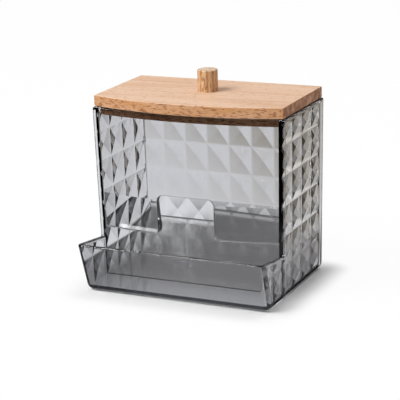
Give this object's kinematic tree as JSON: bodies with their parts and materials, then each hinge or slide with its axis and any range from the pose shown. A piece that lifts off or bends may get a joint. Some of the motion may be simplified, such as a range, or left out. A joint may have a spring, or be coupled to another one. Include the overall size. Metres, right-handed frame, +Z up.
{
  "type": "cotton swab storage box",
  "caption": "Smoky clear swab box with pyramid-patterned walls, bowed front, sloping ramp, open tray and a lift-off beech lid with a round knob.",
  "frame": {"origin": "under the middle of the outline of box and tray, on the surface that the box stands on", "axes": "+X to the right seen from the front, +Y towards the back wall, +Z up"},
  "size_m": [0.085, 0.0652, 0.0878],
  "materials": {
    "smoky_plastic": "polished, transparent smoky grey polystyrene",
    "smoky_panel": "polished, transparent light smoky grey",
    "smoky_insert": "polished, transparent smoky grey",
    "beech": "sanded beech with a thin clear oil",
    "beech_inner": "sanded beech, unlacquered underside",
    "beech_turned": "turned and sanded beech",
    "screw_steel": "zinc-plated steel"
  },
  "bodies": {
    "box": {"body_shell": "smoky_plastic", "front_panel": "smoky_panel", "swab_ramp": "smoky_insert"},
    "lid": {"lid_board": "beech", "lid_locating_board": "beech_inner", "knob": "beech_turned", "knob_screw": "screw_steel"}
  },
  "joints": [
    {"name": "lid_lift", "type": "slide", "parent": "box", "child": "lid", "axis": [0, 0, 1], "range_m": [0, 0.04]}
  ]
}
